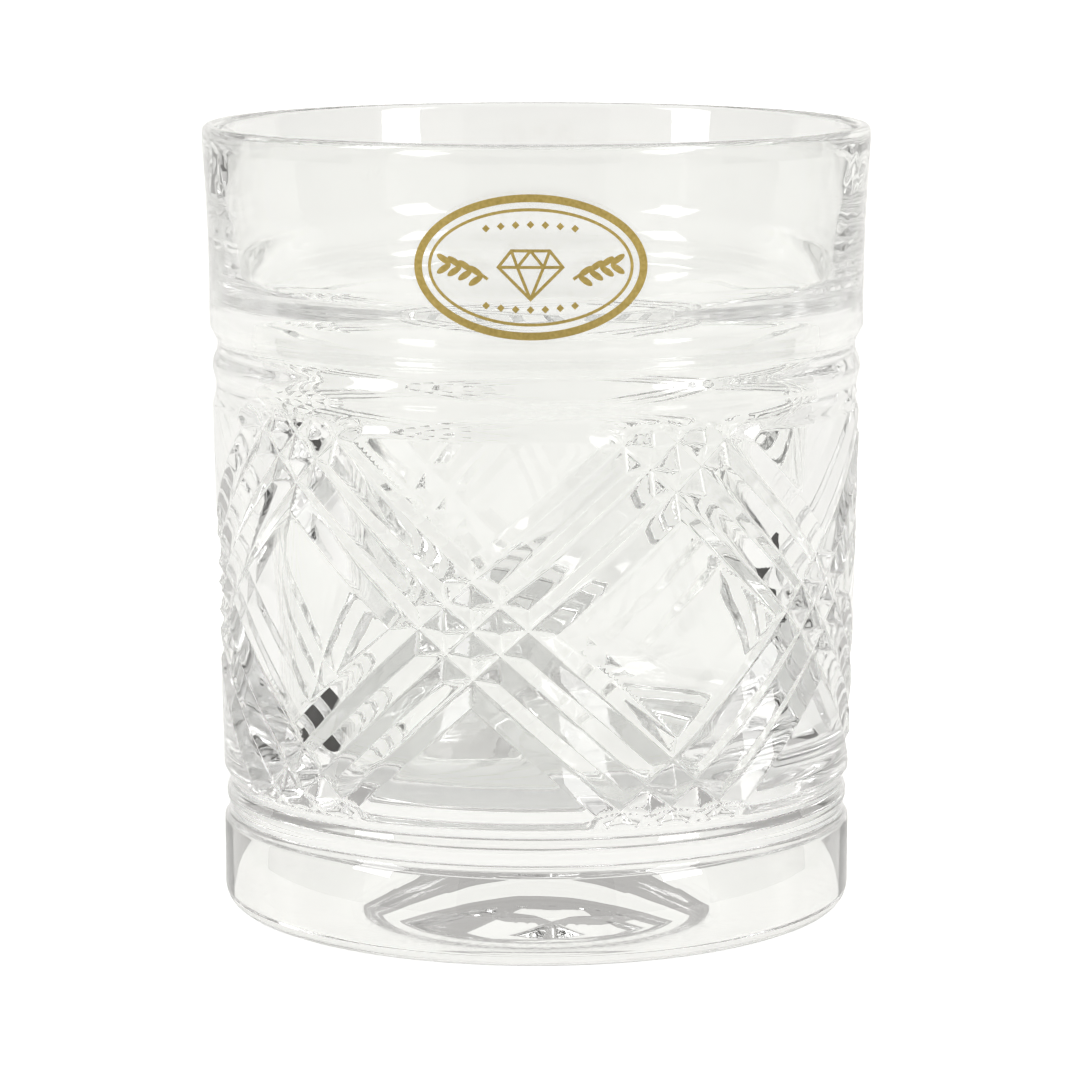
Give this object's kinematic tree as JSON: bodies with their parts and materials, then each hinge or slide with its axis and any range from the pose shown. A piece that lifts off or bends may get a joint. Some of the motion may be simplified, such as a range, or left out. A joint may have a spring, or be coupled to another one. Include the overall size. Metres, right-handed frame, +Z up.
{
  "type": "whiskey tumbler",
  "caption": "Straight-sided old-fashioned tumbler in clear cut crystal, with diagonal wheel-cut bands, turned rings, a thick base and a gilt sticker.",
  "frame": {"origin": "middle of the foot circle, in the plane the tumbler stands on", "axes": "+Z up along the tumbler's axis; -Y is the front, where the sticker faces; +X to the right seen from the front"},
  "size_m": [0.082, 0.082, 0.097],
  "materials": {
    "cut_crystal": "clear, bright polished lead crystal; cuts acid-polished to the same clarity",
    "clear_film": "clear self-adhesive film, glossy",
    "gilt": "gold hot-foil print, satin"
  },
  "bodies": {
    "root": {"crystal_tumbler": "cut_crystal", "label_film": "clear_film", "gilt_border": "gilt", "gilt_inner_line": "gilt", "gilt_gem": "gilt", "gilt_left_sprig": "gilt", "gilt_right_sprig": "gilt", "gilt_upper_beads": "gilt", "gilt_lower_beads": "gilt"}
  },
  "joints": []
}
